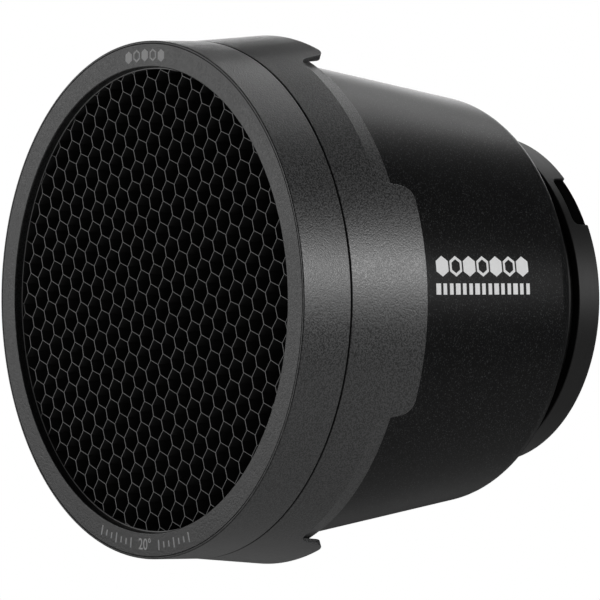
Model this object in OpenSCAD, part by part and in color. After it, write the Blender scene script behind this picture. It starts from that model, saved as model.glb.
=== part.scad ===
// Snoot for a studio lamp head: a tapered drum reflector with a pull-off honeycomb grid.
// The row frame has +Z up. The optical axis lies along Y, the mouth faces -Y, and the origin is
// on the axis at the rear face of the mount ring, where the lamp head goes in.
// Every piece is first drawn along its own axis, with z running forward from the mount ring.

/* [Overall] */
// Length from the mount ring's rear face to the bezel's front face
overall_len = 131.8; // [120:0.1:170]
// Outer diameter of the bezel's front face
front_d = 150; // [140:1:190]

/* [Grid bezel] */
// Radial width of the flat front face
face_w = 7.6; // [7.4:0.1:12]
// Length of the first band, from the front face to the seam
band_len = 16.6; // [14:0.1:24]
// Radius gained from the front face to the seam
band_flare = 0.5; // [0:0.1:1]
// Thickness of the front wall, which is also how far the honeycomb is set back
front_t = 2.4; // [1.5:0.1:4]
// Width of the seam groove between the two bands
seam_w = 0.5; // [0.2:0.1:1]
// Wall of the bezel's inner tube
tube_wall = 1.4; // [1:0.1:2]
// Chamfer round the front face
face_chamfer = 0.6; // [0.2:0.1:1]

/* [Grid ring and tabs] */
// Length of the ring behind the seam, without its tabs
ring_len = 13.8; // [10:0.1:20]
// Length of the pull tabs behind the ring
tab_len = 11.3; // [10.5:0.1:16]
// Half of the angle that one tab spans at its root
tab_half_deg = 26; // [15:0.5:32]
// How far each side of a tab draws in by its rear edge
tab_draft = 2.6; // [0:0.1:3]
// Number of pull tabs
tab_count = 4; // [3:1:5]
// Radius gained from the seam to the tabs' rear edge
ring_flare = 2.7; // [1.6:0.1:4]
// Radius of the tabs' outer corners
tab_corner_r = 3.5; // [2:0.5:7]
// Radius of the fillets at the tabs' roots
tab_root_r = 3; // [1:0.5:3]
// Chamfer on the tabs' rear edge
tab_chamfer = 0.8; // [0.2:0.1:1]

/* [Honeycomb] */
// Cell size across the flats, from wall centre to wall centre
cell_pitch = 6.35; // [4:0.05:10]
// Thickness of the cell walls
foil_t = 0.3; // [0.2:0.05:0.6]
// Depth of the honeycomb
core_depth = 17.4; // [8:0.1:20]
// Turn of the cell rows about the axis
core_turn_deg = 16.3; // [0:0.1:60]
// Thickness of the strip round the honeycomb
core_band_t = 0.4; // [0.3:0.1:0.8]

/* [Reflector rim] */
// Width of the rim strip that shows between the tabs
strip_w = 6.4; // [4:0.1:10]
// Step from the strip in to the spigot that the grid slides over
rim_step = 2.3; // [2:0.1:3]
// Wall of the spigot
spigot_wall = 2.3; // [1.5:0.1:3]
// Thickness of the rim's web
web_t = 2.4; // [1.5:0.1:4]
// Width of the web inside the spigot
web_w = 4.0; // [3.8:0.1:6]
// How far the spigot reaches past the seam
spigot_past_seam = 4.0; // [2:0.1:6]
// How deep the shell sits in the rim
shell_seat = 2.8; // [2:0.1:4]
// Thickness of the steel keeper ring
keeper_t = 1.5; // [1:0.1:2.5]

/* [Drum] */
// Taper of the drum, from its axis to its side
drum_taper_deg = 8.3; // [4:0.1:12]
// Wall of the outer shell
shell_wall = 1.5; // [1:0.1:2.5]
// Radius of the rounded shoulder
shoulder_r = 8.5; // [4:0.5:12]
// Wall of the inner reflector
bowl_wall = 0.8; // [0.6:0.1:1.5]

/* [Neck and mount ring] */
// Outer diameter of the mount ring
mount_ring_d = 100.6; // [98:0.1:106]
// Width of the mount ring
mount_ring_w = 8.4; // [7:0.1:12]
// Length of the neck between the mount ring and the drum
neck_len = 9.7; // [6:0.1:14]
// Outer diameter of the neck
neck_d = 95; // [95:0.1:97]
// Angle that one notch in the mount ring spans
notch_deg = 20; // [12:1:40]
// Angle of the first notch, up from the horizontal
notch_at_deg = 36.6; // [0:0.1:60]
// How far a notch reaches forward from the rear face
notch_len = 5.5; // [3:0.1:6.5]
// Depth of a notch
notch_depth = 1.0; // [0.5:0.1:2]
// Radius of a notch's inner corners
notch_corner_r = 2.4; // [0.5:0.1:2.5]

/* [Lamp socket] */
// Bore that takes the lamp head's round front
socket_d = 76.8; // [75:0.1:78]
// Depth of the socket, from the rear face to the seat
socket_depth = 20; // [15:0.5:26]
// Wall of the sleeve
sleeve_wall = 2.6; // [2:0.1:2.8]
// Diameter of the hole that lets the light through the seat
throat_d = 66; // [56:1:67]
// Number of magnets round the seat
seat_magnet_count = 8; // [4:1:12]

/* [Fasteners] */
// Number of screws that hold the mount ring
mount_screw_count = 6; // [4:1:10]
// Number of screws that hold the front rim
rim_screw_count = 8; // [6:1:12]
// Number of magnets in the grid
grid_magnet_count = 12; // [6:1:16]
// Thread diameter of the mount screws
mount_thread_d = 3; // [2.5:0.5:3]
// Thread diameter of the rim and grid screws
rim_thread_d = 2; // [1.6:0.1:2]

/* [Hidden] */
$fn = 96;
// Running gap between the grid and the reflector, radially and along the axis
slide_gap = 0.4;
seat_gap = 0.3;
// Gap round pieces that are put together by hand
fit_gap = 0.05;
// Overshoot of a cut past the face that it opens
cut = 1;

// Radii from the outside in
front_r = front_d / 2;
seam_r = front_r + band_flare;
aperture_r = front_r - face_w;
tube_r = aperture_r + tube_wall;
rim_r = seam_r;
spigot_r = rim_r - rim_step;
ring_in_r = spigot_r + slide_gap;
spigot_in_r = spigot_r - spigot_wall;
web_in_r = spigot_in_r - web_w;
tab_in_r = rim_r + slide_gap;
tongue_r = (ring_in_r + seam_r) / 2;
tab_out_r = seam_r + ring_flare;

// Stations along the axis, from the front back
z_front = overall_len;
z_core = z_front - front_t;
z_core_rear = z_core - core_depth;
z_seam = z_front - band_len;
z_ring_rear = z_seam - ring_len;
z_tab_rear = z_ring_rear - tab_len;
z_strip = z_ring_rear - seat_gap;
z_strip_rear = z_strip - strip_w;
z_web_rear = z_strip_rear + shell_seat;
z_web = z_web_rear + web_t;
z_spigot = z_seam + spigot_past_seam;
z_keeper = z_spigot + keeper_t;
z_carrier = z_keeper + seat_gap;
tongue_len = 4;

// Grid magnets and screws, in the channel between the bezel's tube and its outer wall
grid_pitch_r = (tube_r + ring_in_r) / 2;
grid_magnet_r = (ring_in_r - tube_r) / 2 - 0.4;
grid_magnet_len = (z_core - z_carrier) / 2;
grid_screw_r = 0.9;
grid_screw_head_r = 1.7;
grid_screw_head_t = 1.2;
grid_screw_bite = 0.6 * front_t;
z_grid_screw = z_carrier + grid_screw_head_t + 1;
rim_thread_r = rim_thread_d / 2;

// Split ring behind the honeycomb
retainer_t = 1;
retainer_bite = 0.5;
retainer_w = 1.6;
retainer_split_deg = 8;

// Inner reflector: a parabola from the throat to the mouth
throat_r = throat_d / 2;
mouth_r = web_in_r - bowl_wall - 0.1;
bowl_throat_r = throat_r + 1;
bowl_steps = 20;

// Rear stack
mount_ring_r = mount_ring_d / 2;
neck_r = neck_d / 2;
socket_r = socket_d / 2;
sleeve_r = socket_r + sleeve_wall;
z_shoulder = mount_ring_w + neck_len;
z_flange_rear = z_shoulder + shell_wall;
flange_t = 1.5;
z_flange = max(z_flange_rear + flange_t, socket_depth + 1);
mount_thread_r = mount_thread_d / 2;
mount_pitch_r = sleeve_r + mount_thread_r + 1.8;
mount_screw_head_r = mount_thread_r * 1.83;
mount_screw_head_t = 2;
mount_thread_depth = 6;
flange_r = mount_pitch_r + mount_screw_head_r + 1;
screw_slack = 0.1;

// Lamp magnets and their carrier
seat_magnet_r = 2.5;
seat_magnet_len = 3;
seat_carrier_t = seat_magnet_len + 1;
seat_carrier_r = mount_pitch_r - mount_screw_head_r - 0.3;
seat_pitch_r = (throat_r + seat_carrier_r) / 2;
z_seal_rear = z_flange + seat_carrier_t;
seal_t = 1.5;
z_bowl = z_seal_rear + seal_t;

// Grip pads in the socket's wall
pad_count = 3;
pad_deg = 24;
pad_len = 8;
z_pad = (socket_depth - pad_len) / 2;

// Rim screws, through the bowl's flange, the rim's web and the shell's flange
rim_pitch_r = web_in_r + rim_thread_r + 0.4;
rim_screw_head_r = 1.8;
rim_screw_head_t = 1.4;
nut_flats = 4;
nut_t = 1.6;

// Drum outline
shell_r = rim_r - 3.4;
z_round = z_shoulder + shoulder_r;
shoulder_centre_r = shell_r - (z_strip_rear - z_round) * tan(drum_taper_deg)
                    - shoulder_r / cos(drum_taper_deg);

// Turns a piece drawn along z into the row frame, mouth towards -Y
module in_frame() {
    rotate([90, 0, 0]) children();
}

// Copies of a piece round the axis
module around(count, at_r, first_deg = 0) {
    for (i = [0 : count - 1])
        rotate([0, 0, first_deg + i * 360 / count]) translate([at_r, 0, 0]) children();
}

// Plain ring between two radii and two stations
module ring(in_r, out_r, z0, z1) {
    translate([0, 0, z0]) difference() {
        cylinder(r = out_r, h = z1 - z0);
        translate([0, 0, -cut]) cylinder(r = in_r, h = z1 - z0 + 2 * cut);
    }
}

// Ring whose outer edges are chamfered at both ends
module chamfered_ring(in_r, out_r, z0, z1, c) {
    rotate_extrude() polygon([[in_r, z0], [out_r - c, z0], [out_r, z0 + c],
                              [out_r, z1 - c], [out_r - c, z1], [in_r, z1]]);
}

// Screws round the axis, heads forward, with a hex socket in each head
module screws(count, pitch_r, shank_r, head_r, head_t, z_head, len, first_deg = 0) {
    around(count, pitch_r, first_deg) translate([0, 0, z_head]) difference() {
        union() {
            translate([0, 0, -len]) cylinder(r = shank_r, h = len);
            cylinder(r = head_r, h = head_t);
        }
        translate([0, 0, head_t * 0.4]) cylinder(r = shank_r * 0.9, h = head_t, $fn = 6);
    }
}

// Holes round the axis from one station to another
module holes(count, pitch_r, hole_r, z0, z1, first_deg = 0) {
    around(count, pitch_r, first_deg) translate([0, 0, z0]) cylinder(r = hole_r, h = z1 - z0);
}

// Points along an arc
function arc(centre, r, from_deg, to_deg, steps = 8) =
    [for (i = [0 : steps]) let (a = from_deg + (to_deg - from_deg) * i / steps)
        centre + r * [cos(a), sin(a)]];

// The same points on the other side of the axis, in reverse order
function other_side(points) =
    [for (i = [len(points) - 1 : -1 : 0]) [-points[i][0], points[i][1]]];

// Opening cut in from the rear: straight sides, filleted at its far end and, where
// flare_r is given, rounded outwards at its rear edge. Drawn facing -y, z along the axis.
module rear_opening(half_w, z_rear, z_end, corner_r, flare_r, draft, depth) {
    overlap = 0.1;
    flare = flare_r == 0 ? [[half_w, z_rear]] :
        arc([half_w + draft + flare_r, z_rear + flare_r - overlap], flare_r, 270, 180);
    side = concat([[half_w + draft + flare_r, z_rear - cut]], flare,
                  arc([half_w - corner_r, z_end - corner_r], corner_r, 0, 90));
    rotate([90, 0, 0]) linear_extrude(depth) polygon(concat(side, other_side(side)));
}

// Rear ring with two shallow notches open to its rear face
module mount_ring() {
    in_r = sleeve_r + fit_gap;
    color("#1b1b1d") in_frame() difference() {
        chamfered_ring(in_r, mount_ring_r, 0, mount_ring_w, 0.5);
        holes(mount_screw_count, mount_pitch_r, mount_thread_r + fit_gap,
              mount_ring_w - mount_thread_depth, mount_ring_w + cut);
        for (turn = [0, 180]) rotate([0, 0, notch_at_deg + turn + 90]) intersection() {
            rear_opening(mount_ring_r * sin(notch_deg / 2), 0, notch_len, notch_corner_r, 0, 0,
                         mount_ring_r + cut);
            ring(mount_ring_r - notch_depth, mount_ring_r + cut, -cut, mount_ring_w);
        }
    }
}

// Socket for the lamp head, with its seat and the flange that is clamped inside the drum
module mount_sleeve() {
    color("#2a2a2c") in_frame() difference() {
        rotate_extrude() polygon([[socket_r, 0], [sleeve_r, 0], [sleeve_r, z_flange_rear],
                                  [flange_r, z_flange_rear], [flange_r, z_flange],
                                  [throat_r, z_flange], [throat_r, socket_depth],
                                  [socket_r, socket_depth]]);
        holes(mount_screw_count, mount_pitch_r, mount_thread_r + screw_slack,
              z_flange_rear - cut, z_flange + cut);
        for (i = [0 : pad_count - 1]) rotate([0, 0, i * 360 / pad_count + 90 - pad_deg / 2])
            rotate_extrude(angle = pad_deg)
                translate([socket_r - cut, z_pad]) square([sleeve_wall + 2 * cut, pad_len]);
    }
}

// Rubber strips that fill the windows in the sleeve
module grip_pads() {
    side_deg = 0.2;
    color("#111112") in_frame() for (i = [0 : pad_count - 1])
        rotate([0, 0, i * 360 / pad_count + 90 - pad_deg / 2 + side_deg])
            rotate_extrude(angle = pad_deg - 2 * side_deg)
                translate([socket_r, z_pad + fit_gap])
                    square([sleeve_wall, pad_len - 2 * fit_gap]);
}

// Spacer that stands the drum off the mount ring
module neck_collar() {
    color("#161617") in_frame() difference() {
        ring(sleeve_r + fit_gap, neck_r, mount_ring_w, z_shoulder);
        holes(mount_screw_count, mount_pitch_r, mount_thread_r + screw_slack,
              mount_ring_w - cut, z_shoulder + cut);
    }
}

module mount_screws() {
    len = z_flange - mount_ring_w + mount_thread_depth - 1;
    color("#8c8c90") in_frame()
        screws(mount_screw_count, mount_pitch_r, mount_thread_r, mount_screw_head_r,
               mount_screw_head_t, z_flange, len);
}

// Plastic carrier that holds the lamp magnets behind the seat
module seat_magnet_ring() {
    color("#202022") in_frame() difference() {
        ring(throat_r, seat_carrier_r, z_flange, z_seal_rear);
        holes(seat_magnet_count, seat_pitch_r, seat_magnet_r + fit_gap,
              z_flange - cut, z_flange + seat_magnet_len + fit_gap);
    }
}

module seat_magnets() {
    color("#b9babd") in_frame()
        holes(seat_magnet_count, seat_pitch_r, seat_magnet_r, z_flange,
              z_flange + seat_magnet_len);
}

// Felt ring that closes the gap behind the bowl
module light_seal() {
    color("#0d0d0e") in_frame() ring(throat_r + 0.2, seat_carrier_r - 0.2, z_seal_rear, z_bowl);
}

// Spun drum with a rear wall for the mount and a turned-in flange under the rim
module outer_shell() {
    hole_r = sleeve_r + fit_gap;
    in_r = shell_r - shell_wall / cos(drum_taper_deg);
    z_flange_in = z_web_rear - shell_wall;
    round_at = [shoulder_centre_r, z_round];
    color("#19191b") in_frame() difference() {
        rotate_extrude() polygon(concat(
            [[hole_r, z_shoulder]],
            arc(round_at, shoulder_r, 270, 360 - drum_taper_deg, 16),
            [[shell_r, z_strip_rear], [shell_r, z_web_rear], [web_in_r, z_web_rear],
             [web_in_r, z_flange_in], [in_r, z_flange_in], [in_r, z_strip_rear]],
            arc(round_at, shoulder_r - shell_wall, 360 - drum_taper_deg, 270, 16),
            [[hole_r, z_flange_rear]]));
        holes(mount_screw_count, mount_pitch_r, mount_thread_r + screw_slack,
              z_shoulder - cut, z_flange_rear + cut);
        holes(rim_screw_count, rim_pitch_r, rim_thread_r + screw_slack,
              z_flange_in - cut, z_web_rear + cut);
    }
}

// Bowl radius at a station, inside face
function bowl_r(z) = sqrt(pow(bowl_throat_r, 2) + (z - z_bowl)
                          * (pow(mouth_r, 2) - pow(bowl_throat_r, 2)) / (z_web - z_bowl));

// Bright spun bowl with a flange at each end
module inner_reflector() {
    step = (z_web - z_bowl) / bowl_steps;
    inside = [for (i = [0 : bowl_steps]) [bowl_r(z_bowl + i * step), z_bowl + i * step]];
    outside = [for (i = [bowl_steps : -1 : 1]) inside[i] + [bowl_wall, 0]];
    flange_out_r = spigot_in_r - 0.2;
    color("#d4d6d9") in_frame() difference() {
        rotate_extrude() polygon(concat(
            inside,
            [[mouth_r, z_web + bowl_wall], [flange_out_r, z_web + bowl_wall],
             [flange_out_r, z_web]],
            outside,
            [[bowl_r(z_bowl + bowl_wall) + bowl_wall, z_bowl + bowl_wall],
             [seat_carrier_r, z_bowl + bowl_wall], [seat_carrier_r, z_bowl]]));
        holes(rim_screw_count, rim_pitch_r, rim_thread_r + screw_slack, z_web - cut,
              z_web + bowl_wall + cut);
    }
}

// Rim that joins bowl and drum and carries the grid on its spigot
module front_rim() {
    c = 0.8;
    seat_r = shell_r + 0.3;
    color("#232325") in_frame() difference() {
        rotate_extrude() polygon([
            [web_in_r, z_web_rear], [seat_r, z_web_rear], [seat_r, z_strip_rear],
            [rim_r - c, z_strip_rear], [rim_r, z_strip_rear + c], [rim_r, z_strip],
            [spigot_r, z_strip], [spigot_r, z_spigot], [spigot_in_r, z_spigot],
            [spigot_in_r, z_web], [web_in_r, z_web]]);
        holes(rim_screw_count, rim_pitch_r, rim_thread_r + screw_slack, z_web_rear - cut,
              z_web + cut);
    }
}

// Steel ring on the spigot's end that the grid's magnets pull on
module keeper_ring() {
    color("#9a9ca0") in_frame()
        ring(tube_r + slide_gap, spigot_r, z_spigot, z_keeper);
}

module rim_screws() {
    len = bowl_wall + web_t + shell_wall + nut_t + 0.6;
    color("#7f8084") in_frame()
        screws(rim_screw_count, rim_pitch_r, rim_thread_r, rim_screw_head_r, rim_screw_head_t,
               z_web + bowl_wall, len);
}

module rim_nuts() {
    z_nut = z_web_rear - shell_wall - nut_t;
    color("#9fa0a4") in_frame() around(rim_screw_count, rim_pitch_r)
        translate([0, 0, z_nut]) rotate([0, 0, 30]) difference() {
            cylinder(r = nut_flats / 2 / cos(30), h = nut_t, $fn = 6);
            translate([0, 0, -cut]) cylinder(r = rim_thread_r + fit_gap, h = nut_t + 2 * cut);
        }
}

// Channel-shaped front ring: flat face, inner tube for the honeycomb, outer band and tongue
module grid_bezel() {
    band_end = z_seam + seam_w;
    groove_z0 = z_core_rear - retainer_t - fit_gap;
    color("#3b3b3d") in_frame() difference() {
        rotate_extrude() polygon([
            [aperture_r, groove_z0 - 1], [tube_r, groove_z0 - 1], [tube_r, z_core],
            [ring_in_r, z_core], [ring_in_r, z_seam - tongue_len],
            [tongue_r, z_seam - tongue_len], [tongue_r, band_end], [seam_r, band_end],
            [front_r, z_front - face_chamfer], [front_r - face_chamfer, z_front],
            [aperture_r + face_chamfer / 2, z_front], [aperture_r, z_front - face_chamfer / 2]]);
        ring(aperture_r - cut, aperture_r + retainer_bite, groove_z0, z_core_rear);
        holes(grid_magnet_count, grid_pitch_r, grid_screw_r + fit_gap,
              z_core - cut, z_core + grid_screw_bite + fit_gap, 180 / grid_magnet_count);
    }
}

// Cells of the honeycomb whose middles lie inside the core
module cells(in_r) {
    hex_r = (cell_pitch - foil_t) / 2 / cos(30);
    row_h = cell_pitch * cos(30);
    rows = ceil(in_r / row_h) + 1;
    cols = ceil(in_r / cell_pitch) + 2;
    for (j = [-rows : rows], i = [-cols : cols]) {
        at = [(i + (j % 2 == 0 ? 0 : 0.5)) * cell_pitch, j * row_h];
        if (norm(at) < in_r + hex_r * 0.6)
            translate(at) rotate(30) circle(r = hex_r, $fn = 6);
    }
}

// Honeycomb cut to a disc
module grid_core() {
    out_r = aperture_r - fit_gap - core_band_t - fit_gap;
    color("#141415") in_frame() translate([0, 0, z_core_rear]) rotate([0, 0, core_turn_deg])
        linear_extrude(core_depth) difference() {
            circle(r = out_r);
            intersection() {
                circle(r = out_r - foil_t);
                cells(out_r - foil_t);
            }
        }
}

module core_band() {
    out_r = aperture_r - fit_gap;
    color("#2c2c2e") in_frame() ring(out_r - core_band_t, out_r, z_core_rear, z_core);
}

// Split spring ring that sits in a groove behind the honeycomb
module core_retainer() {
    out_r = aperture_r + retainer_bite - fit_gap;
    z0 = z_core_rear - retainer_t;
    color("#6d6e72") in_frame() rotate([0, 0, retainer_split_deg / 2 - 90])
        rotate_extrude(angle = 360 - retainer_split_deg)
            translate([out_r - retainer_w, z0]) square([retainer_w, retainer_t - fit_gap]);
}

// Second band with its pull tabs
module grid_ring() {
    gap_half_deg = 180 / tab_count - tab_half_deg;
    slope = ring_flare / (z_seam - z_tab_rear);
    z_step = z_ring_rear + 0.5;
    color("#2e2e30") in_frame() difference() {
        rotate_extrude() polygon([
            [tongue_r + fit_gap, z_seam], [tongue_r + fit_gap, z_seam - tongue_len - fit_gap],
            [ring_in_r, z_seam - tongue_len - fit_gap], [ring_in_r, z_step],
            [tab_in_r, z_step], [tab_in_r, z_tab_rear], [tab_out_r - tab_chamfer, z_tab_rear],
            [tab_out_r - slope * tab_chamfer, z_tab_rear + tab_chamfer], [seam_r, z_seam]]);
        for (i = [0 : tab_count - 1]) rotate([0, 0, (i + 0.5) * 360 / tab_count + 90])
            rear_opening(tab_out_r * sin(gap_half_deg), z_tab_rear, z_ring_rear, tab_root_r,
                         tab_corner_r, tab_draft, tab_out_r + cut);
    }
}

// Plastic carrier in the bezel's channel
module grid_magnet_ring() {
    half = 180 / grid_magnet_count;
    color("#202022") in_frame() difference() {
        ring(tube_r + fit_gap, ring_in_r - fit_gap, z_carrier, z_core);
        holes(grid_magnet_count, grid_pitch_r, grid_magnet_r + fit_gap, z_carrier - cut,
              z_carrier + grid_magnet_len + fit_gap);
        holes(grid_magnet_count, grid_pitch_r, grid_screw_r + screw_slack, z_carrier - cut,
              z_core + cut, half);
        holes(grid_magnet_count, grid_pitch_r, grid_screw_head_r + screw_slack,
              z_carrier - cut, z_grid_screw, half);
    }
}

module grid_magnets() {
    color("#b9babd") in_frame()
        holes(grid_magnet_count, grid_pitch_r, grid_magnet_r, z_carrier,
              z_carrier + grid_magnet_len);
}

// Screws from behind, through the carrier into the bezel's front wall
module grid_screws() {
    len = z_core + grid_screw_bite - z_grid_screw;
    color("#8c8c90") in_frame() mirror([0, 0, 1])
        screws(grid_magnet_count, grid_pitch_r, grid_screw_r, grid_screw_head_r,
               grid_screw_head_t, -z_grid_screw, len, 180 / grid_magnet_count);
}

mount_ring();
mount_sleeve();
grip_pads();
neck_collar();
mount_screws();
seat_magnet_ring();
seat_magnets();
light_seal();
outer_shell();
inner_reflector();
front_rim();
keeper_ring();
rim_screws();
rim_nuts();
grid_bezel();
grid_core();
core_band();
core_retainer();
grid_ring();
grid_magnet_ring();
grid_magnets();
grid_screws();
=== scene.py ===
from math import atan2, ceil, cos, degrees, hypot, pi, radians, sin, sqrt, tan, tau

import bmesh
import bpy
from mathutils import Matrix, Vector


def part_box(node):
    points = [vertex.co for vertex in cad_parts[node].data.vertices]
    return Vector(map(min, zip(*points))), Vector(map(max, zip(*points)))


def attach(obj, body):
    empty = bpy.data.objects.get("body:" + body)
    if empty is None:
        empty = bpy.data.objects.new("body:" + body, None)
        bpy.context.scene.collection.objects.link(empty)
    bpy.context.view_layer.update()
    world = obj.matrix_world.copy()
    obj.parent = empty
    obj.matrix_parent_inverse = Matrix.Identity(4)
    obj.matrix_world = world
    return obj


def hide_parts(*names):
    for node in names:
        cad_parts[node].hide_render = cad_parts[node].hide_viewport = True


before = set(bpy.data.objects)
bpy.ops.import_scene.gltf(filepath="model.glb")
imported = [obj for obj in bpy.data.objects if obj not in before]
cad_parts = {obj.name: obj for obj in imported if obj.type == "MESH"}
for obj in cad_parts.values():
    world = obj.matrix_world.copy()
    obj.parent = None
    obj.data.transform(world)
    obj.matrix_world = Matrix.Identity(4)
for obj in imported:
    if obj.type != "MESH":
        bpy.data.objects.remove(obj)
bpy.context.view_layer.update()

# All sizes below are in millimetres. A radius is taken from the optical axis, and a station is
# the distance forward from the mount ring's rear face, as on the turning drawings.
MM = 0.001

# The grid head: bezel, honeycomb, and the pull ring behind the seam with its tabs. The bezel
# reaches back inside the pull ring by the lap.
FRONT = -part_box("grid_bezel")[0][1] / MM
CORE_FRONT = -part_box("grid_core")[0][1] / MM
CORE_REAR = -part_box("grid_core")[1][1] / MM
SEAM = FRONT - 16.6
RING_REAR = SEAM - 13.8
TAB_REAR = -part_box("grid_ring")[1][1] / MM
FACE_R = 75.0
RIM_R = 75.5
LAP = 4.0
LAP_R = 74.55
CHANNEL_R = 73.6
PLAY = 0.05

# The rim, which shows as a strip between the tabs, and the keeper ring on its spigot.
STRIP = RING_REAR - 0.3
STRIP_REAR = -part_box("front_rim")[1][1] / MM
RIM_BORE_R = 66.9
KEEPER = -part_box("keeper_ring")[1][1] / MM

# The drum: radius at its front end, lean of its side, and the rounded shoulder at its rear.
DRUM_R = 72.1
TAPER = radians(8.3)
SHOULDER_R = 8.5
SHOULDER = 18.1

# The tail ring, and the bore through it, the neck and the drum's end.
RING_R = 50.3
RING_W = 8.4
BORE_R = 41.05

# The stack inside the drum's end, each piece by its rear: seat carrier, felt seal and bowl.
SEAT = -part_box("seat_magnet_ring")[1][1] / MM
SEAL = -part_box("light_seal")[1][1] / MM
THROAT = -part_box("inner_reflector")[1][1] / MM
SEAT_R = 33.0
CARRIER_R = 41.25


# ---------------------------------------------------------------- bench tools

def put_down():
    """Leaves edit mode with nothing selected."""
    if bpy.context.object and bpy.context.object.mode != "OBJECT":
        bpy.ops.object.mode_set(mode="OBJECT")
    bpy.ops.object.select_all(action="DESELECT")


def take(piece, mode="OBJECT"):
    """Makes this the one piece being worked on."""
    put_down()
    piece.select_set(True)
    bpy.context.view_layer.objects.active = piece
    if mode == "EDIT":
        bpy.ops.object.mode_set(mode="EDIT")
        bpy.ops.mesh.select_mode(type="VERT")
        bpy.ops.mesh.select_all(action="SELECT")
    return piece


def choose(piece, kind, test):
    """In edit mode, selects only the corners, edges or faces that pass the test."""
    bpy.ops.mesh.select_mode(type=kind)
    bpy.ops.mesh.select_all(action="DESELECT")
    shape = bmesh.from_edit_mesh(piece.data)
    for part in {"VERT": shape.verts, "EDGE": shape.edges, "FACE": shape.faces}[kind]:
        if test(part):
            part.select_set(True)
    shape.select_flush_mode()
    bmesh.update_edit_mesh(piece.data)


def tool(piece, kind, **settings):
    """Adds a modifier and applies it."""
    take(piece)
    modifier = piece.modifiers.new(kind.lower(), kind)
    for key, value in settings.items():
        setattr(modifier, key, value)
    bpy.ops.object.modifier_apply(modifier=modifier.name)


def cut(piece, cutter, operation="DIFFERENCE"):
    """Cuts a piece with another solid, which is used up."""
    tool(piece, "BOOLEAN", operation=operation, object=cutter, solver="EXACT")
    bpy.data.objects.remove(cutter)


def fix_place(piece):
    """Moves a piece's place and turn into its mesh."""
    take(piece)
    bpy.ops.object.transform_apply(location=True, rotation=True, scale=True)


def join(pieces, name):
    """Makes one piece of several."""
    put_down()
    for piece in pieces:
        piece.select_set(True)
    bpy.context.view_layer.objects.active = pieces[0]
    bpy.ops.object.join()
    pieces[0].name = pieces[0].data.name = name
    return pieces[0]


def weld(piece, threshold):
    """Merges corners that lie on each other."""
    take(piece, "EDIT")
    bpy.ops.mesh.remove_doubles(threshold=threshold)
    put_down()


def rounded(corners, step=18):
    """Corners as (across, along[, radius]); a radius turns the corner into an arc."""
    points, count = [], len(corners)
    for i, corner in enumerate(corners):
        here = Vector(corner[:2])
        radius = corner[2] if len(corner) > 2 else 0
        before = Vector(corners[i - 1][:2]) - here
        after = Vector(corners[(i + 1) % count][:2]) - here
        if not radius:
            points.append(here)
            continue
        bend = before.angle(after)
        reach = min(radius / tan(bend / 2), before.length * 0.49, after.length * 0.49)
        radius = reach * tan(bend / 2)
        centre = here + (before.normalized() + after.normalized()).normalized() * (
            radius / sin(bend / 2))
        first = here + before.normalized() * reach - centre
        last = here + after.normalized() * reach - centre
        sweep = (atan2(last.y, last.x) - atan2(first.y, first.x) + pi) % tau - pi
        steps = max(2, ceil(abs(degrees(sweep)) / step))
        for k in range(steps + 1):
            a = atan2(first.y, first.x) + sweep * k / steps
            points.append(centre + radius * Vector((cos(a), sin(a))))
    return points


def arc(across, along, radius, start, end, steps):
    """Points along an arc, angles in degrees."""
    return [(across + radius * cos(radians(start + (end - start) * k / steps)),
             along + radius * sin(radians(start + (end - start) * k / steps)))
            for k in range(steps + 1)]


def traced(points):
    """A closed outline of edges, drawn corner by corner. It is left in edit mode."""
    put_down()
    bpy.ops.mesh.primitive_plane_add(size=MM)
    piece = take(bpy.context.object, "EDIT")
    bpy.ops.mesh.merge(type="CENTER")
    bpy.ops.transform.translate(value=points[0])
    for a, b in zip(points, points[1:]):
        bpy.ops.mesh.extrude_vertices_move(TRANSFORM_OT_translate={"value": b - a})
    choose(piece, "VERT", lambda v: len(v.link_edges) == 1)
    bpy.ops.mesh.edge_face_add()
    bpy.ops.mesh.select_all(action="SELECT")
    return piece


def spun(name, corners, steps=216, turn=360):
    """Turns an outline of (radius, station[, rounding]) corners round the optical axis."""
    piece = traced([Vector((p[0] * MM, -p[1] * MM, 0)) for p in rounded(corners)])
    bpy.ops.mesh.spin(steps=steps, angle=radians(turn), center=(0, 0, 0), axis=(0, 1, 0))
    bpy.ops.mesh.select_all(action="SELECT")
    bpy.ops.mesh.remove_doubles(threshold=MM / 500)
    if turn < 360:
        bpy.ops.mesh.select_all(action="DESELECT")
        bpy.ops.mesh.select_non_manifold()
        bpy.ops.mesh.fill_holes(sides=0)
        bpy.ops.mesh.select_all(action="SELECT")
    bpy.ops.mesh.normals_make_consistent(inside=False)
    put_down()
    piece.name = piece.data.name = name
    return piece


def sector(name, corners, turn, middle):
    """Part of a turned ring, turn degrees wide. Its middle is counted from +X towards +Z."""
    piece = spun(name, corners, steps=16, turn=turn)
    piece.rotation_euler = (0, radians(turn / 2 - middle), 0)
    fix_place(piece)
    return piece


def strip(name, corners, radius, length):
    """A straight bar of a ring's section, before rolling. Its x runs round the ring, -y is
    outwards and z is the station."""
    piece = traced([Vector((-length / 2, radius - p[0], p[1])) * MM for p in rounded(corners)])
    bpy.ops.mesh.edge_face_add()
    bpy.ops.mesh.select_all(action="SELECT")
    bpy.ops.mesh.extrude_region_move(TRANSFORM_OT_translate={"value": (length * MM, 0, 0)})
    bpy.ops.mesh.select_all(action="SELECT")
    bpy.ops.mesh.normals_make_consistent(inside=False)
    put_down()
    piece.name = piece.data.name = name
    return piece


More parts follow.
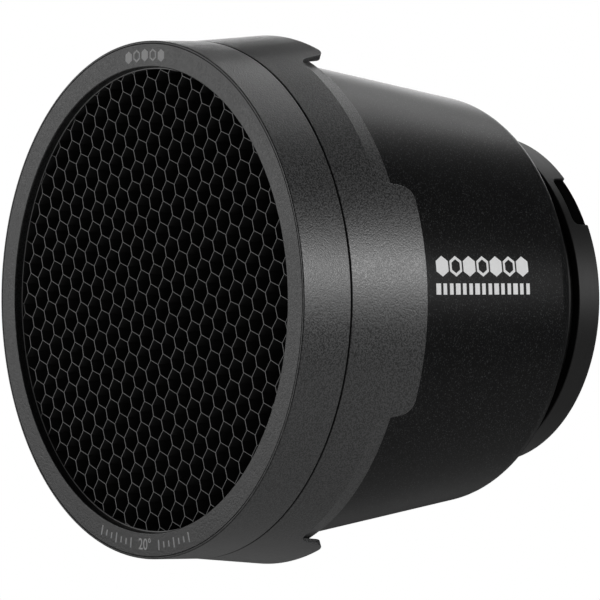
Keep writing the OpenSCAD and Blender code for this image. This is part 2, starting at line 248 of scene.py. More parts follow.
def roll(piece, radius, length, copies, columns, edge, middle_deg):
    """Rounds a bar's edges, lays copies end to end and rolls them into a ring. The first bar's
    middle comes to middle_deg, counted from +X towards +Z."""
    end = length / 2 * MM
    take(piece, "EDIT")
    choose(piece, "FACE", lambda f: abs(abs(f.calc_center_median().x) - end) < 1e-6)
    bpy.ops.mesh.delete(type="FACE")
    put_down()
    tool(piece, "BEVEL", width=edge * MM, segments=3, limit_method="ANGLE",
         angle_limit=radians(32), use_clamp_overlap=True)
    take(piece, "EDIT")
    for k in range(1, columns):
        bpy.ops.mesh.select_all(action="SELECT")
        bpy.ops.mesh.bisect(plane_co=(end * (2 * k / columns - 1), 0, 0), plane_no=(1, 0, 0),
                            threshold=1e-6)
    put_down()
    tool(piece, "ARRAY", count=copies, use_relative_offset=False, use_constant_offset=True,
         constant_offset_displace=(length * MM, 0, 0), use_merge_vertices=True,
         merge_threshold=MM / 200)
    tool(piece, "SIMPLE_DEFORM", deform_method="BEND", deform_axis="Z", angle=tau)
    take(piece, "EDIT")
    bpy.ops.transform.translate(value=(0, -radius * MM, 0))
    bpy.ops.mesh.remove_doubles(threshold=MM / 200)
    bpy.ops.mesh.normals_make_consistent(inside=False)
    put_down()
    piece.rotation_euler = (0, 0, radians(middle_deg + 90))
    fix_place(piece)
    piece.rotation_euler = (pi / 2, 0, 0)
    fix_place(piece)


def block(name, low, high):
    """A box between two corners, used as a cutter."""
    put_down()
    low, high = Vector(low) * MM, Vector(high) * MM
    bpy.ops.mesh.primitive_cube_add(size=1, location=(low + high) / 2, scale=high - low)
    piece = bpy.context.object
    piece.name = name
    fix_place(piece)
    return piece


def tie(piece, body, material, slot, *nodes):
    """Gives a piece its finish, ties it to its body, and hides the CAD nodes that it stands for."""
    piece.data.materials.clear()
    piece.data.materials.append(material)
    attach(piece, body)
    if nodes:
        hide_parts(*nodes)


def done(piece, body, material, slot, *nodes):
    """Shades a finished piece smooth up to its edges, and ties it."""
    take(piece)
    bpy.ops.object.shade_smooth_by_angle(angle=radians(30))
    tool(piece, "WEIGHTED_NORMAL", mode="FACE_AREA", weight=50, keep_sharp=True)
    tie(piece, body, material, slot, *nodes)


# ---------------------------------------------------------------- finishes

class Signal:
    """An output in a material's tree. Arithmetic on it adds Math nodes."""

    def __init__(self, finish, socket):
        self.finish, self.socket = finish, socket

    def math(self, operation, a, b):
        return self.finish.node("ShaderNodeMath", {"operation": operation}, {0: a, 1: b})

    def __add__(self, other):
        return self.math("ADD", self, other)

    def __radd__(self, other):
        return self.math("ADD", other, self)

    def __rsub__(self, other):
        return self.math("SUBTRACT", other, self)

    def __mul__(self, other):
        return self.math("MULTIPLY", self, other)

    def __rmul__(self, other):
        return self.math("MULTIPLY", other, self)

    def rise(self, low, high):
        """0 below low, 1 above high and a smooth rise between."""
        return self.finish.node("ShaderNodeMapRange", {"interpolation_type": "SMOOTHSTEP"},
                                {0: self, 1: low, 2: high, 3: 0.0, 4: 1.0})


class Finish:
    """A material being mixed."""

    def __init__(self, name):
        self.material = bpy.data.materials.new(name)
        self.material.use_nodes = True
        self.tree = self.material.node_tree
        self.tree.nodes.clear()
        self.at = self.node("ShaderNodeTexCoord", out="Object")

    def node(self, kind, settings=None, inputs=None, out=0):
        """Any node: its settings first, then the values or links of its sockets."""
        made = self.tree.nodes.new(kind)
        for key, value in (settings or {}).items():
            setattr(made, key, value)
        for key, value in (inputs or {}).items():
            if isinstance(value, Signal):
                self.tree.links.new(value.socket, made.inputs[key])
            else:
                made.inputs[key].default_value = value
        return Signal(self, made.outputs[out]) if len(made.outputs) else None

    def axis(self, name):
        """One coordinate of the place on the piece, in metres."""
        return self.node("ShaderNodeSeparateXYZ", {}, {0: self.at}, out=name)

    def stretched(self, scale):
        """Coordinates for a pattern drawn out along the axes whose scale is small."""
        return self.node("ShaderNodeMapping", {}, {"Vector": self.at, "Scale": scale})

    def noise(self, size, detail=2.0, at=None, roughness=0.5):
        """Noise whose blotches are about this many millimetres across."""
        return self.node("ShaderNodeTexNoise", {"noise_dimensions": "3D"}, {
            "Vector": at or self.at, "Scale": 1 / (size * MM), "Detail": detail,
            "Roughness": roughness})

    def dimples(self, size):
        """Round hollows that meet in soft ridges."""
        return self.node("ShaderNodeTexVoronoi", {"feature": "SMOOTH_F1"},
                         {"Vector": self.at, "Scale": 1 / (size * MM)})

    def mix(self, share, a, b):
        """Colour a where share is 0, b where it is 1."""
        def colour(c):
            return c if isinstance(c, Signal) else (c[0], c[1], c[2], 1.0)
        return self.node("ShaderNodeMix", {"data_type": "RGBA"},
                         {0: share, 6: colour(a), 7: colour(b)}, out=2)

    def bump(self, height, depth, strength):
        """A surface that rises by depth millimetres where height is 1."""
        return self.node("ShaderNodeBump", {}, {"Strength": strength, "Distance": depth * MM,
                                               "Height": height})

    def surface(self, **inputs):
        """The finished material, from the shader's inputs by name."""
        names = {k.replace("_", " ").title().replace("Ior", "IOR"): v for k, v in inputs.items()}
        shader = self.node("ShaderNodeBsdfPrincipled", {}, names)
        self.node("ShaderNodeOutputMaterial", {}, {0: shader})
        return self.material


def grey(value, tint=0.0):
    """A near-neutral colour. A tint above 0 leans to blue."""
    return (value * (1 - tint), value, value * (1 + tint))


def textured_paint():
    """Powder coat with a fine, slightly sparkling grain."""
    f = Finish("textured_paint")
    grain = f.noise(0.48, 1.0)
    fine = f.noise(0.20, 1.0)
    cloud = f.noise(9, 2.0)
    speck = (grain * 0.65 + fine * 0.35).rise(0.38, 0.62)
    colour = f.mix(speck, grey(0.013, 0.01), grey(0.062, 0.01))
    return f.surface(base_color=colour, roughness=0.30 + 0.10 * speck + 0.03 * cloud,
                     specular_ior_level=0.5, normal=f.bump(grain * 0.7 + fine * 0.3, 0.080, 0.9))


def drum_paint():
    """Satin spray paint over the spun drum: fine orange peel and a few tiny bright specks."""
    f = Finish("drum_paint")
    peel = f.noise(0.55, 2.0)
    fine = f.noise(0.42, 1.0)
    cloud = f.noise(14, 2.0)
    speck = fine.rise(0.58, 0.70)
    colour = f.mix(speck, grey(0.0060, 0.02), grey(0.040, 0.02))
    return f.surface(base_color=colour, roughness=0.28 + 0.04 * cloud + 0.05 * peel,
                     specular_ior_level=0.06, normal=f.bump(peel * 0.5 + fine * 0.5, 0.012, 0.8))


def black_ring():
    """Turned and anodised ring: faint tool lines round the axis."""
    f = Finish("black_ring")
    lines = f.noise(0.35, 2.0, f.stretched((0.02, 1.0, 0.02)))
    grain = f.noise(0.30, 2.0)
    return f.surface(base_color=f.mix(grain.rise(0.4, 0.7), grey(0.006), grey(0.011)),
                     roughness=0.38 + 0.10 * lines + 0.06 * grain,
                     specular_ior_level=0.23, normal=f.bump(lines * 0.7 + grain * 0.3, 0.010, 0.6))


def painted_notch_shade():
    """Painted shade: a near-black for the floors of the ring's notches, standing for the shade deep
    in them.
    """
    f = Finish("painted_notch_shade")
    return f.surface(base_color=f.mix(f.noise(0.3, 2.0), grey(0.0005), grey(0.0015)),
                     roughness=0.95, specular_ior_level=0.02)


def rubber():
    """Dull grip rubber."""
    f = Finish("rubber")
    grain = f.noise(0.35, 3.0)
    cloud = f.noise(4, 2.0)
    return f.surface(base_color=f.mix(cloud, grey(0.010), grey(0.020)),
                     roughness=0.75 + 0.15 * grain, normal=f.bump(grain, 0.03, 0.6))


def black_plastic():
    """Moulded plastic with a fine spark-eroded texture."""
    f = Finish("black_plastic")
    grain = f.noise(0.25, 2.0)
    cloud = f.noise(6, 2.0)
    return f.surface(base_color=f.mix(cloud, grey(0.016), grey(0.026)),
                     roughness=0.52 + 0.12 * grain, normal=f.bump(grain, 0.02, 0.6))


def steel():
    """Zinc-plated steel, slightly cloudy, with fine drawn lines."""
    f = Finish("steel")
    lines = f.noise(0.12, 3.0, f.stretched((1.0, 0.15, 1.0)))
    cloud = f.noise(2.5, 3.0)
    return f.surface(base_color=f.mix(cloud, grey(0.42, 0.02), grey(0.62, 0.02)), metallic=1.0,
                     roughness=0.28 + 0.18 * lines + 0.08 * cloud, normal=f.bump(lines, 0.006, 0.5))


def magnet():
    """Nickel plating with faint handling marks."""
    f = Finish("magnet")
    cloud = f.noise(1.8, 3.0)
    scratch = f.noise(0.10, 2.0, f.stretched((1.0, 0.1, 0.25))).rise(0.62, 0.7)
    return f.surface(base_color=f.mix(cloud, grey(0.55, -0.02), grey(0.70, -0.02)), metallic=1.0,
                     roughness=0.14 + 0.10 * cloud + 0.15 * scratch)


def felt():
    """Black felt."""
    f = Finish("felt")
    fibre = f.noise(0.12, 4.0, roughness=0.7)
    cloud = f.noise(2.0, 2.0)
    return f.surface(base_color=f.mix(fibre * 0.6 + cloud * 0.4, grey(0.006), grey(0.020)),
                     roughness=0.95, sheen_weight=0.3, normal=f.bump(fibre, 0.12, 0.8))


def bright_bowl():
    """Bright anodised aluminium, peened all over so that the light leaves without streaks."""
    f = Finish("bright_bowl")
    dimple = f.dimples(2.6)
    cloud = f.noise(12, 2.0)
    fine = f.noise(0.4, 2.0)
    return f.surface(base_color=f.mix(cloud, grey(0.74, 0.01), grey(0.84, 0.01)), metallic=1.0,
                     roughness=0.20 + 0.08 * fine, normal=f.bump(dimple, 0.35, 0.7))


def black_foil():
    """Blackened foil, light grey within a tenth of a millimetre of both ends of the cells."""
    f = Finish("black_foil")
    station = -1 * f.axis("Y")
    front = station.rise((CORE_FRONT - 0.10) * MM, (CORE_FRONT - 0.04) * MM)
    rear = 1 - station.rise((CORE_REAR + 0.04) * MM, (CORE_REAR + 0.10) * MM)
    cloud = f.noise(5, 2.0)
    crease = f.noise(1.2, 2.0, f.stretched((1.0, 0.15, 1.0)))
    # Light grey near the cells' front and rear ends.
    light_ends = (front + rear) * (0.75 + 0.5 * cloud)
    colour = f.mix(light_ends, f.mix(cloud, grey(0.045), grey(0.065)), grey(0.60))
    return f.surface(base_color=colour, roughness=0.50 + 0.15 * crease,
                     specular_ior_level=0.4, normal=f.bump(crease, 0.05, 0.5))


def white_print():
    """Screen-printed ink with a slightly uneven film."""
    f = Finish("white_print")
    film = f.noise(0.25, 2.0)
    cloud = f.noise(2.0, 2.0)
    return f.surface(base_color=f.mix(film * 0.5 + cloud * 0.5, grey(0.82), grey(0.92)),
                     roughness=0.50 + 0.10 * film, normal=f.bump(film, 0.01, 0.5))


TEXTURED = textured_paint()
DRUM = drum_paint()
RING = black_ring()
NOTCH_SHADE = painted_notch_shade()
RUBBER = rubber()
PLASTIC = black_plastic()
STEEL = steel()
MAGNET = magnet()
FELT = felt()
BOWL = bright_bowl()
FOIL = black_foil()
WHITE = white_print()


def hardware():
    """The screws, nuts, magnets and rings that stay as the CAD has them."""
    kept = {"seat_magnets": MAGNET, "grid_magnets": MAGNET, "grid_magnet_ring": PLASTIC,
            "mount_screws": STEEL, "rim_screws": STEEL, "rim_nuts": STEEL,
            "grid_screws": STEEL, "core_retainer": STEEL}
    for node, finish in kept.items():
        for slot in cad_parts[node].material_slots:
            slot.link = "OBJECT"
            slot.material = finish


# ---------------------------------------------------------------- grid

def bezel():
    """The front ring, with a groove behind the honeycomb for the split ring."""
    inner_r, tube_r = 67.4, 68.8
    face = FRONT - 0.03
    seam_front = SEAM + 0.5
    groove = CORE_REAR - 1.05
    piece = spun("bezel", [
        (inner_r, groove - 1), (tube_r, groove - 1), (tube_r, CORE_FRONT), (CHANNEL_R, CORE_FRONT),
        (CHANNEL_R, SEAM - LAP), (LAP_R, SEAM - LAP), (LAP_R, seam_front),
        (RIM_R, seam_front, 0.16), (FACE_R, face, 0.55), (74.40, face), (74.24, face - 0.2),
        (74.08, face),
        (inner_r, face, 0.40), (inner_r, CORE_REAR), (inner_r + 0.5, CORE_REAR),
        (inner_r + 0.5, groove), (inner_r, groove)], steps=240)
    done(piece, "grid", TEXTURED, "textured_paint", "grid_bezel")


def second_band():
    """The ring behind the seam with its four pull tabs."""
    quarter = tau * RIM_R / 4
    half_tab = RIM_R * radians(26.1)
    draft = 2.8
    tab_corner_r, root_corner_r = 3.5, 3
    tab_in_r, lip_r = RIM_R + 0.4, RIM_R + 2.6
    piece = strip("pull_ring", [
        (LAP_R + PLAY, SEAM), (LAP_R + PLAY, SEAM - LAP - PLAY), (CHANNEL_R, SEAM - LAP - PLAY),
        (CHANNEL_R, RING_REAR + 0.5), (tab_in_r, RING_REAR + 0.5), (tab_in_r, TAB_REAR),
        (lip_r, TAB_REAR), (RIM_R, SEAM)], RIM_R, quarter)
    for side in (-1, 1):
        ends = sorted((side * half_tab, side * (quarter / 2 + 5)))
        gap = block("gap", (ends[0], -10, TAB_REAR), (ends[1], 10, RING_REAR))
        take(gap, "EDIT")
        choose(gap, "EDGE", lambda e: all(abs(v.co.z - TAB_REAR * MM) < 1e-6 and abs(
            v.co.x - side * half_tab * MM) < 1e-6 for v in e.verts))
        bpy.ops.transform.translate(value=(-side * draft * MM, 0, 0))
        choose(gap, "FACE", lambda f: f.calc_center_median().z < (TAB_REAR + 0.01) * MM)
        bpy.ops.mesh.extrude_region_move(TRANSFORM_OT_translate={"value": (0, 0, -5 * MM)})
        put_down()
        cut(piece, gap)

    def through(edge, station):
        """An edge that runs through the bar's wall at a station, away from its ends."""
        a, b = (v.co for v in edge.verts)
        return (abs(a.x) < (quarter / 2 - 1) * MM and abs(a.x - b.x) < 1e-6
                and all(abs(co.z - station * MM) < 2e-5 for co in (a, b)))

    take(piece, "EDIT")
    for station, corner_r, segments in ((TAB_REAR, tab_corner_r, 10),
                                        (RING_REAR, root_corner_r, 8)):
        choose(piece, "EDGE", lambda e: through(e, station))
        bpy.ops.mesh.bevel(offset=corner_r * MM, segments=segments, affect="EDGES",
                           clamp_overlap=True)
    put_down()
    roll(piece, RIM_R, quarter, 4, 54, 0.28, -90)
    done(piece, "grid", TEXTURED, "textured_paint", "grid_ring")


def cell(pitch, row, bonded):
    """One flat cell, a corner up and a corner down, with bonded walls at its sides."""
    put_down()
    size = 2
    bpy.ops.mesh.primitive_circle_add(vertices=6, radius=size * MM, fill_type="NGON")
    piece = take(bpy.context.object, "EDIT")
    for at_tip, wide, tall in ((True, 1, (row - bonded / 2) / size),
                               (False, pitch / (2 * size * cos(radians(30))), bonded / size)):
        choose(piece, "VERT", lambda v: (abs(v.co.x) < 1e-6) == at_tip)
        bpy.ops.transform.resize(value=(wide, tall, 1), center_override=(0, 0, 0))
    put_down()
    return piece


def honeycomb():
    """Rows of cells, inset to leave their walls, drawn back into a block and cut to a disc.
    The bonded walls, across the rows, are two foils thick."""
    # The block is pulled out a little past even hexagons, so its rows stand closer together.
    pitch, row, bonded = 6.46, 5.27, 2.92
    columns, pairs = 25, 15
    half_foil = 0.034
    unevenness = 0.16
    block_r = 66.92
    # Squashed to this share of its width while the walls are inset, the block gets thicker
    # bonded walls.
    squash = 0.33
    lean, aside, up = radians(16.9), 0.71, 0.98
    piece = cell(pitch, row, bonded)
    for count, step in ((columns, (pitch, 0, 0)), (2, (pitch / 2, row, 0)),
                        (pairs, (0, 2 * row, 0))):
        tool(piece, "ARRAY", count=count, use_relative_offset=False, use_constant_offset=True,
             constant_offset_displace=Vector(step) * MM, use_merge_vertices=True,
             merge_threshold=MM / 20)
    take(piece, "EDIT")
    bpy.ops.mesh.remove_doubles(threshold=MM / 20)
    bpy.ops.transform.translate(value=(-pitch * (columns // 2) * MM,
                                       -2 * row * (pairs // 2) * MM, 0))
    bpy.ops.transform.vertex_random(offset=unevenness * MM, uniform=0.3, normal=0.0, seed=11)
    bpy.ops.transform.resize(value=(squash, 1, 0), center_override=(0, 0, 0))
    bpy.ops.mesh.select_mode(type="FACE")
    bpy.ops.mesh.select_all(action="SELECT")
    bpy.ops.mesh.inset(thickness=half_foil * MM, use_individual=True, use_boundary=True)
    bpy.ops.mesh.delete(type="FACE")
    bpy.ops.mesh.select_all(action="SELECT")
    bpy.ops.transform.resize(value=(1 / squash, 1, 1), center_override=(0, 0, 0))
    bpy.ops.mesh.extrude_region_move(
        TRANSFORM_OT_translate={"value": (0, 0, (CORE_REAR - CORE_FRONT) * MM)})
    bpy.ops.mesh.select_all(action="SELECT")
    bpy.ops.mesh.normals_make_consistent(inside=False)
    put_down()
    piece.rotation_euler = (0, 0, lean)
    fix_place(piece)
    piece.rotation_euler = (pi / 2, 0, 0)
    piece.location = Vector((aside, -CORE_FRONT, up)) * MM
    fix_place(piece)
    bpy.ops.mesh.primitive_cylinder_add(
        vertices=180, radius=block_r * MM, depth=40 * MM, rotation=(pi / 2, 0, 0),
        location=(0, -(CORE_FRONT + CORE_REAR) / 2 * MM, 0))
    disc = bpy.context.object
    fix_place(disc)
    cut(piece, disc, "INTERSECT")
    piece.name = piece.data.name = "honeycomb"
    take(piece)
    bpy.ops.object.shade_flat()
    tie(piece, "grid", FOIL, "black_foil", "grid_core")


def core_strip():
    """Thin strip bent round the honeycomb."""
    piece = spun("core_strip", [(66.95, CORE_REAR), (67.35, CORE_REAR),
                                (67.35, CORE_FRONT, 0.1), (66.95, CORE_FRONT, 0.1)], steps=240)
    done(piece, "grid", FOIL, "black_foil", "core_band")


# ---------------------------------------------------------------- reflector

def rim():
    """The reflector's own rim, with the spigot that the grid head slides over."""
    spigot_in_r, spigot_r = 70.9, 73.2
    web_rear, web_front = STRIP_REAR + 2.8, STRIP_REAR + 5.2
    piece = spun("rim", [
        (RIM_BORE_R, web_rear), (DRUM_R + 0.3, web_rear), (DRUM_R + 0.3, STRIP_REAR),
        (RIM_R - 0.8, STRIP_REAR, 0.2), (RIM_R, STRIP_REAR + 0.8, 0.2), (RIM_R, STRIP, 0.2),
        (spigot_r, STRIP), (spigot_r, KEEPER), (spigot_in_r, KEEPER), (spigot_in_r, web_front),
        (RIM_BORE_R, web_front, 0.2)], steps=240)
    done(piece, "reflector", TEXTURED, "textured_paint", "front_rim")


def keeper():
    """The steel ring that the grid's magnets hold to."""
    front = KEEPER + 1.5
    piece = spun("keeper", [(69.2, KEEPER), (73.2, KEEPER), (73.2, front, 0.25),
                            (69.2, front, 0.25)])
    done(piece, "reflector", STEEL, "steel", "keeper_ring")


def drum():
    """The tapering drum, flanged at its mouth, with its rounded shoulder."""
    wall = 1.5
    flange = STRIP_REAR + 2.8
    centre = (DRUM_R - (STRIP_REAR - SHOULDER - SHOULDER_R) * tan(TAPER) - SHOULDER_R / cos(TAPER),
              SHOULDER + SHOULDER_R)
    inner_r = DRUM_R - wall / cos(TAPER)
    lean = 360 - degrees(TAPER)
    piece = spun("drum", [(BORE_R, SHOULDER)]
                 + arc(*centre, SHOULDER_R, 270, lean, 14)
                 + [(DRUM_R, STRIP_REAR), (DRUM_R, flange), (RIM_BORE_R, flange),
                    (RIM_BORE_R, flange - wall), (inner_r, flange - wall), (inner_r, STRIP_REAR)]
                 + arc(*centre, SHOULDER_R - wall, lean, 270, 14)
                 + [(BORE_R, SHOULDER + wall)], steps=240)
    done(piece, "reflector", DRUM, "drum_paint", "outer_shell")


def bowl():
    """Parabolic bowl from the throat to the mouth, flanged at both ends."""
    mouth = STRIP_REAR + 5.2
    throat_r, mouth_r = 34, 66
    wall, steps = 0.8, 36

    def radius(station):
        share = (station - THROAT) / (mouth - THROAT)
        return sqrt(throat_r ** 2 + share * (mouth_r ** 2 - throat_r ** 2))

    stations = [THROAT + (mouth - THROAT) * k / steps for k in range(steps + 1)]
    inside = [(radius(s), s) for s in stations]
    piece = spun("bowl", inside
                 + [(mouth_r, mouth + wall), (70.7, mouth + wall), (70.7, mouth)]
                 + [(r + wall, s) for r, s in reversed(inside[1:])]
                 + [(radius(THROAT + wall) + wall, THROAT + wall), (CARRIER_R, THROAT + wall),
                    (CARRIER_R, THROAT)])
    done(piece, "reflector", BOWL, "bright_bowl", "inner_reflector")


def neck():
    """The recessed collar between the drum and the tail ring."""
    piece = spun("neck", [(BORE_R, RING_W), (47.5, RING_W), (47.5, SHOULDER),
                          (BORE_R, SHOULDER)])
    done(piece, "reflector", PLASTIC, "black_ring", "neck_collar")


def tail_ring():
    """The ring at the rear with its two notches, whose floors carry painted shade."""
    half = tau * RING_R / 2
    reach = RING_R * radians(10)
    notch_len, notch_depth = 5.5, 1.0
    piece = strip("tail_ring", [(BORE_R, 0), (RING_R, 0, 0.5), (RING_R, RING_W, 0.5),
                                (BORE_R, RING_W)], RING_R, half)
    notch = block("notch", (-reach, -5, -2), (reach, notch_depth, notch_len))
    take(notch, "EDIT")
    choose(notch, "EDGE", lambda e: all(abs(v.co.z - notch_len * MM) < 1e-6 for v in e.verts)
           and abs(e.verts[0].co.x - e.verts[1].co.x) < 1e-6)
    bpy.ops.mesh.bevel(offset=2.4 * MM, segments=8, affect="EDGES")
    put_down()
    cut(piece, notch)
    roll(piece, RING_R, half, 2, 90, 0.28, 36.6)
    done(piece, "reflector", RING, "black_ring", "mount_ring")

    def notch_floor(face):
        centre = face.calc_center_median()
        return (-centre.y < (notch_len + 0.05) * MM
                and hypot(centre.x, centre.z) > (RING_R - notch_depth - 0.1) * MM
                and all(hypot(v.co.x, v.co.z) < (RING_R - notch_depth + 0.3) * MM
                        for v in face.verts))

    # The notch floors get a near-black painted shade.
    piece.data.materials.append(NOTCH_SHADE)
    take(piece, "EDIT")
    choose(piece, "FACE", notch_floor)
    piece.active_material_index = 1
    bpy.ops.object.material_slot_assign()
    put_down()


def socket():
    """Sleeve for the lamp head, with windows that the rubber strips fill."""
    inner_r, outer_r, flange_r = 38.4, 41.0, 48.05
    lip_rear, flange_rear = 20.0, 19.6
    rear, front = 6.0, 14.0
    groove, groove_deep, groove_step = 0.25, 0.22, 1.58
    piece = spun("socket", [
        (inner_r, 0, 0.4), (outer_r, 0, 0.15), (outer_r, flange_rear), (flange_r, flange_rear),
        (flange_r, SEAT), (SEAT_R, SEAT), (SEAT_R, lip_rear, 0.3), (inner_r, lip_rear)])
    window = [(inner_r - 0.9, rear), (outer_r + 1, rear), (outer_r + 1, front),
              (inner_r - 0.9, front)]
    strips = [(inner_r, rear + PLAY), (outer_r, rear + PLAY), (outer_r, front - PLAY),
              (inner_r, front - PLAY)]
    for k in range(4, 0, -1):
        middle = rear + PLAY + k * groove_step
        strips += [(inner_r, middle + groove), (inner_r + groove_deep, middle),
                   (inner_r, middle - groove)]
    grips = []
    for turned in (90, 210, 330):
        cut(piece, sector("window", window, 24, turned))
        grips.append(sector("grip", strips, 23.6, turned))
    weld(piece, MM / 200)
    done(piece, "reflector", RING, "black_ring", "mount_sleeve")
    done(join(grips, "grips"), "reflector", RUBBER, "rubber", "grip_pads")


def seat():
    """Magnet carrier and felt seal behind the lamp's seat."""
    piece = spun("seat_carrier", [(SEAT_R, SEAT), (CARRIER_R, SEAT), (CARRIER_R, SEAL),
                                  (SEAT_R, SEAL, 0.3)])
    done(piece, "reflector", PLASTIC, "black_plastic", "seat_magnet_ring")
    inner_r = SEAT_R + 0.2
    piece = spun("seal", [(inner_r, SEAL), (BORE_R, SEAL), (BORE_R, THROAT),
                          (inner_r, THROAT, 0.4)])
    done(piece, "reflector", FELT, "felt", "light_seal")


# ---------------------------------------------------------------- printed marks

def lozenge(across, up, size, ring, thickness):
    """A hexagon, or a hexagonal ring."""
    put_down()
    bpy.ops.mesh.primitive_circle_add(vertices=6, radius=size / 2 * MM, fill_type="NGON",
                                      location=(across * MM, up * MM, 0))
    piece = take(bpy.context.object, "EDIT")
    if ring:
        bpy.ops.mesh.select_mode(type="FACE")
        bpy.ops.mesh.select_all(action="SELECT")
        bpy.ops.mesh.inset(thickness=size * 0.14 * MM)
        bpy.ops.mesh.delete(type="FACE")
    return raised(piece, thickness)


def bar(across, up, width, height, thickness, turn=0.0):
    """A small upright bar."""
    put_down()
    bpy.ops.mesh.primitive_plane_add(size=1, location=(across * MM, up * MM, 0),
                                     rotation=(0, 0, turn))
    piece = bpy.context.object
    piece.scale = (width * MM, height * MM, 1)
    fix_place(piece)
    return raised(take(piece, "EDIT"), thickness)


def raised(piece, thickness):
    """Gives a flat shape a body half above and half below its plane."""
    bpy.ops.mesh.select_mode(type="FACE")
    bpy.ops.mesh.select_all(action="SELECT")
    bpy.ops.transform.translate(value=(0, 0, -thickness / 2 * MM))
    bpy.ops.mesh.extrude_region_move(TRANSFORM_OT_translate={"value": (0, 0, thickness * MM)})
    bpy.ops.mesh.select_all(action="SELECT")
    bpy.ops.mesh.normals_make_consistent(inside=False)
    put_down()
    fix_place(piece)
    return piece


def stood(piece, right, up, out, place):
    """Stands a flat drawing up: right and up lie in its plane, out is the side it faces."""
    turn = Matrix((right, up, out)).transposed().to_4x4()
    piece.matrix_world = Matrix.Translation(Vector(place) * MM) @ turn
    fix_place(piece)
    return piece


def face_marks():
    """Cell marks at the top of the face, and the grid's angle between ticks at the bottom."""
    radius = 70.9
    film = 0.03
    middle = -(FRONT - film / 2)
    shapes = []
    for k in range(5):
        across = 4.0 * (k - 2)
        shapes.append(lozenge(across, radius - across ** 2 / (2 * radius), 3.7, k % 2 == 1, film))
    for k in range(7):
        for side in (-1, 1):
            turn = radians(side * (5.6 + k * 2.0))
            height = 3.0 if k % 3 == 0 else 1.8
            shapes.append(bar(radius * sin(turn), -radius * cos(turn), 0.55, height, film, turn))
    marks = stood(join(shapes, "face_marks"), (1, 0, 0), (0, 0, 1), (0, -1, 0), (0, middle, 0))
    put_down()
    bpy.ops.object.text_add()
    text = bpy.context.object.data
    text.body = "20°"
    text.align_x = text.align_y = "CENTER"
    text.size = 4.6 * MM
    text.offset = 0.05 * MM
    text.extrude = film / 2 * MM
    bpy.ops.object.convert(target="MESH")
    number = bpy.context.object
    weld(number, MM / 500)
    stood(number, (1, 0, 0), (0, 0, 1), (0, -1, 0), (0, middle, -radius))
    done(join([marks, number], "face_marks"), "grid", WHITE, "white_print")


def drum_marks():
    """A row of cell marks over a row of bars, printed on the drum's side."""
    film, reach = 0.05, 24
    rear, front = 36, 84
    shapes = [lozenge((k - 3) * 5.75, 9.7, 5.9, k % 2 == 1, reach) for k in range(7)]
    shapes += [bar((k - 7) * 2.75, 3.2, 1.5 if k % 3 else 2.0, 3.2, reach) for k in range(15)]
    stamp = stood(join(shapes, "stamp"), (0, 1, 0), (0, 0, 1), (1, 0, 0),
                  (68, -(rear + front) / 2, 0))
    rear_r, front_r = (DRUM_R - (STRIP_REAR - s) * tan(TAPER) for s in (rear, front))
    piece = spun("drum_marks", [(rear_r, rear), (front_r, front), (front_r + film, front),
                                (rear_r + film, rear)], steps=240)
    cut(piece, stamp, "INTERSECT")
    done(piece, "reflector", WHITE, "white_print")


hardware()
bezel()
second_band()
honeycomb()
core_strip()
rim()
keeper()
drum()
bowl()
neck()
tail_ring()
socket()
seat()
face_marks()
drum_marks()


# ---------------------------------------------------------------- studio

def camera():
    """Looks at the grid and the drum's side, tipped slightly down. Its place is counted from the
    face's middle: aside across the view, back along it, and up from the axis."""
    turn = radians(52.12)
    aside, back, up = 44.9475, 1157.955, 4.6
    right = Vector((cos(turn), sin(turn), 0))
    ahead = Vector((-sin(turn), cos(turn), 0))
    place = (Vector((0, -FRONT, 0)) + aside * right - back * ahead) * MM
    place.z = up * MM
    look = ahead - Vector((0, 0, up / back))
    put_down()
    bpy.ops.object.camera_add(location=place, rotation=look.to_track_quat("-Z", "Y").to_euler())
    cam = bpy.context.object
    cam.data.sensor_width = 36
    cam.data.lens = 240
    cam.data.clip_start = 0.05
    cam.data.clip_end = 20
    bpy.context.scene.camera = cam


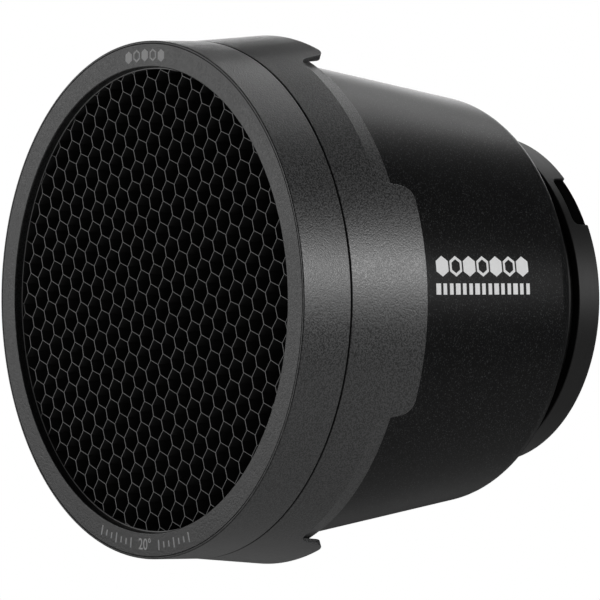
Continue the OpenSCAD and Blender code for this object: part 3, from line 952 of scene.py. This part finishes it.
def softbox(name, azimuth, height, width, depth, power):
    """A soft lamp aimed at the middle of the object. Its azimuth runs from +X towards +Y."""
    distance = 1.6
    aim = Vector((0, -0.066, 0))
    turn = radians(azimuth)
    level = sqrt(distance ** 2 - height ** 2)
    place = aim + Vector((cos(turn) * level, sin(turn) * level, height))
    put_down()
    bpy.ops.object.light_add(type="AREA", location=place,
                             rotation=(aim - place).to_track_quat("-Z", "Y").to_euler())
    lamp = bpy.context.object
    lamp.name = name
    lamp.data.shape = "RECTANGLE"
    lamp.data.size = width
    lamp.data.size_y = depth
    lamp.data.energy = power


def surroundings():
    """White all round where the camera looks, and only a little light from it on the object."""
    world = bpy.data.worlds.new("studio")
    bpy.context.scene.world = world
    world.use_nodes = True
    tree = world.node_tree
    tree.nodes.clear()
    path = tree.nodes.new("ShaderNodeLightPath")
    mix = tree.nodes.new("ShaderNodeMixShader")
    out = tree.nodes.new("ShaderNodeOutputWorld")
    tree.links.new(path.outputs["Is Camera Ray"], mix.inputs[0])
    for k, strength in ((1, 0.03), (2, 1.0)):
        white = tree.nodes.new("ShaderNodeBackground")
        white.inputs["Color"].default_value = (1, 1, 1, 1)
        white.inputs["Strength"].default_value = strength
        tree.links.new(white.outputs[0], mix.inputs[k])
    tree.links.new(mix.outputs[0], out.inputs[0])


def floor():
    """A wide, pale, plain disc well below the object."""
    put_down()
    bpy.ops.mesh.primitive_circle_add(vertices=128, radius=2.6, fill_type="NGON",
                                      location=(0, 0, -0.60))
    disc = bpy.context.object
    disc.name = "floor"
    f = Finish("pale_floor")
    disc.data.materials.append(f.surface(
        base_color=f.mix(f.noise(400, 2.0), grey(0.66), grey(0.70)), roughness=0.7))


camera()
surroundings()
floor()
# Azimuth in degrees, height above the axis, width and depth in metres, and power in watts.
softbox("back low", 142, 0.45, 1.2, 0.4, 4.2)
softbox("back high", 118, 1.03, 0.6, 0.5, 2.6)
softbox("overhead", 92, 1.26, 0.6, 0.5, 1.6)
softbox("side", 22, 0.33, 0.35, 0.3, 10.5)
softbox("side rear", 48, 0.18, 0.35, 0.4, 4.2)
softbox("front", -137, 0.20, 0.8, 0.8, 4.8)
bpy.context.scene.view_settings.view_transform = "Standard"
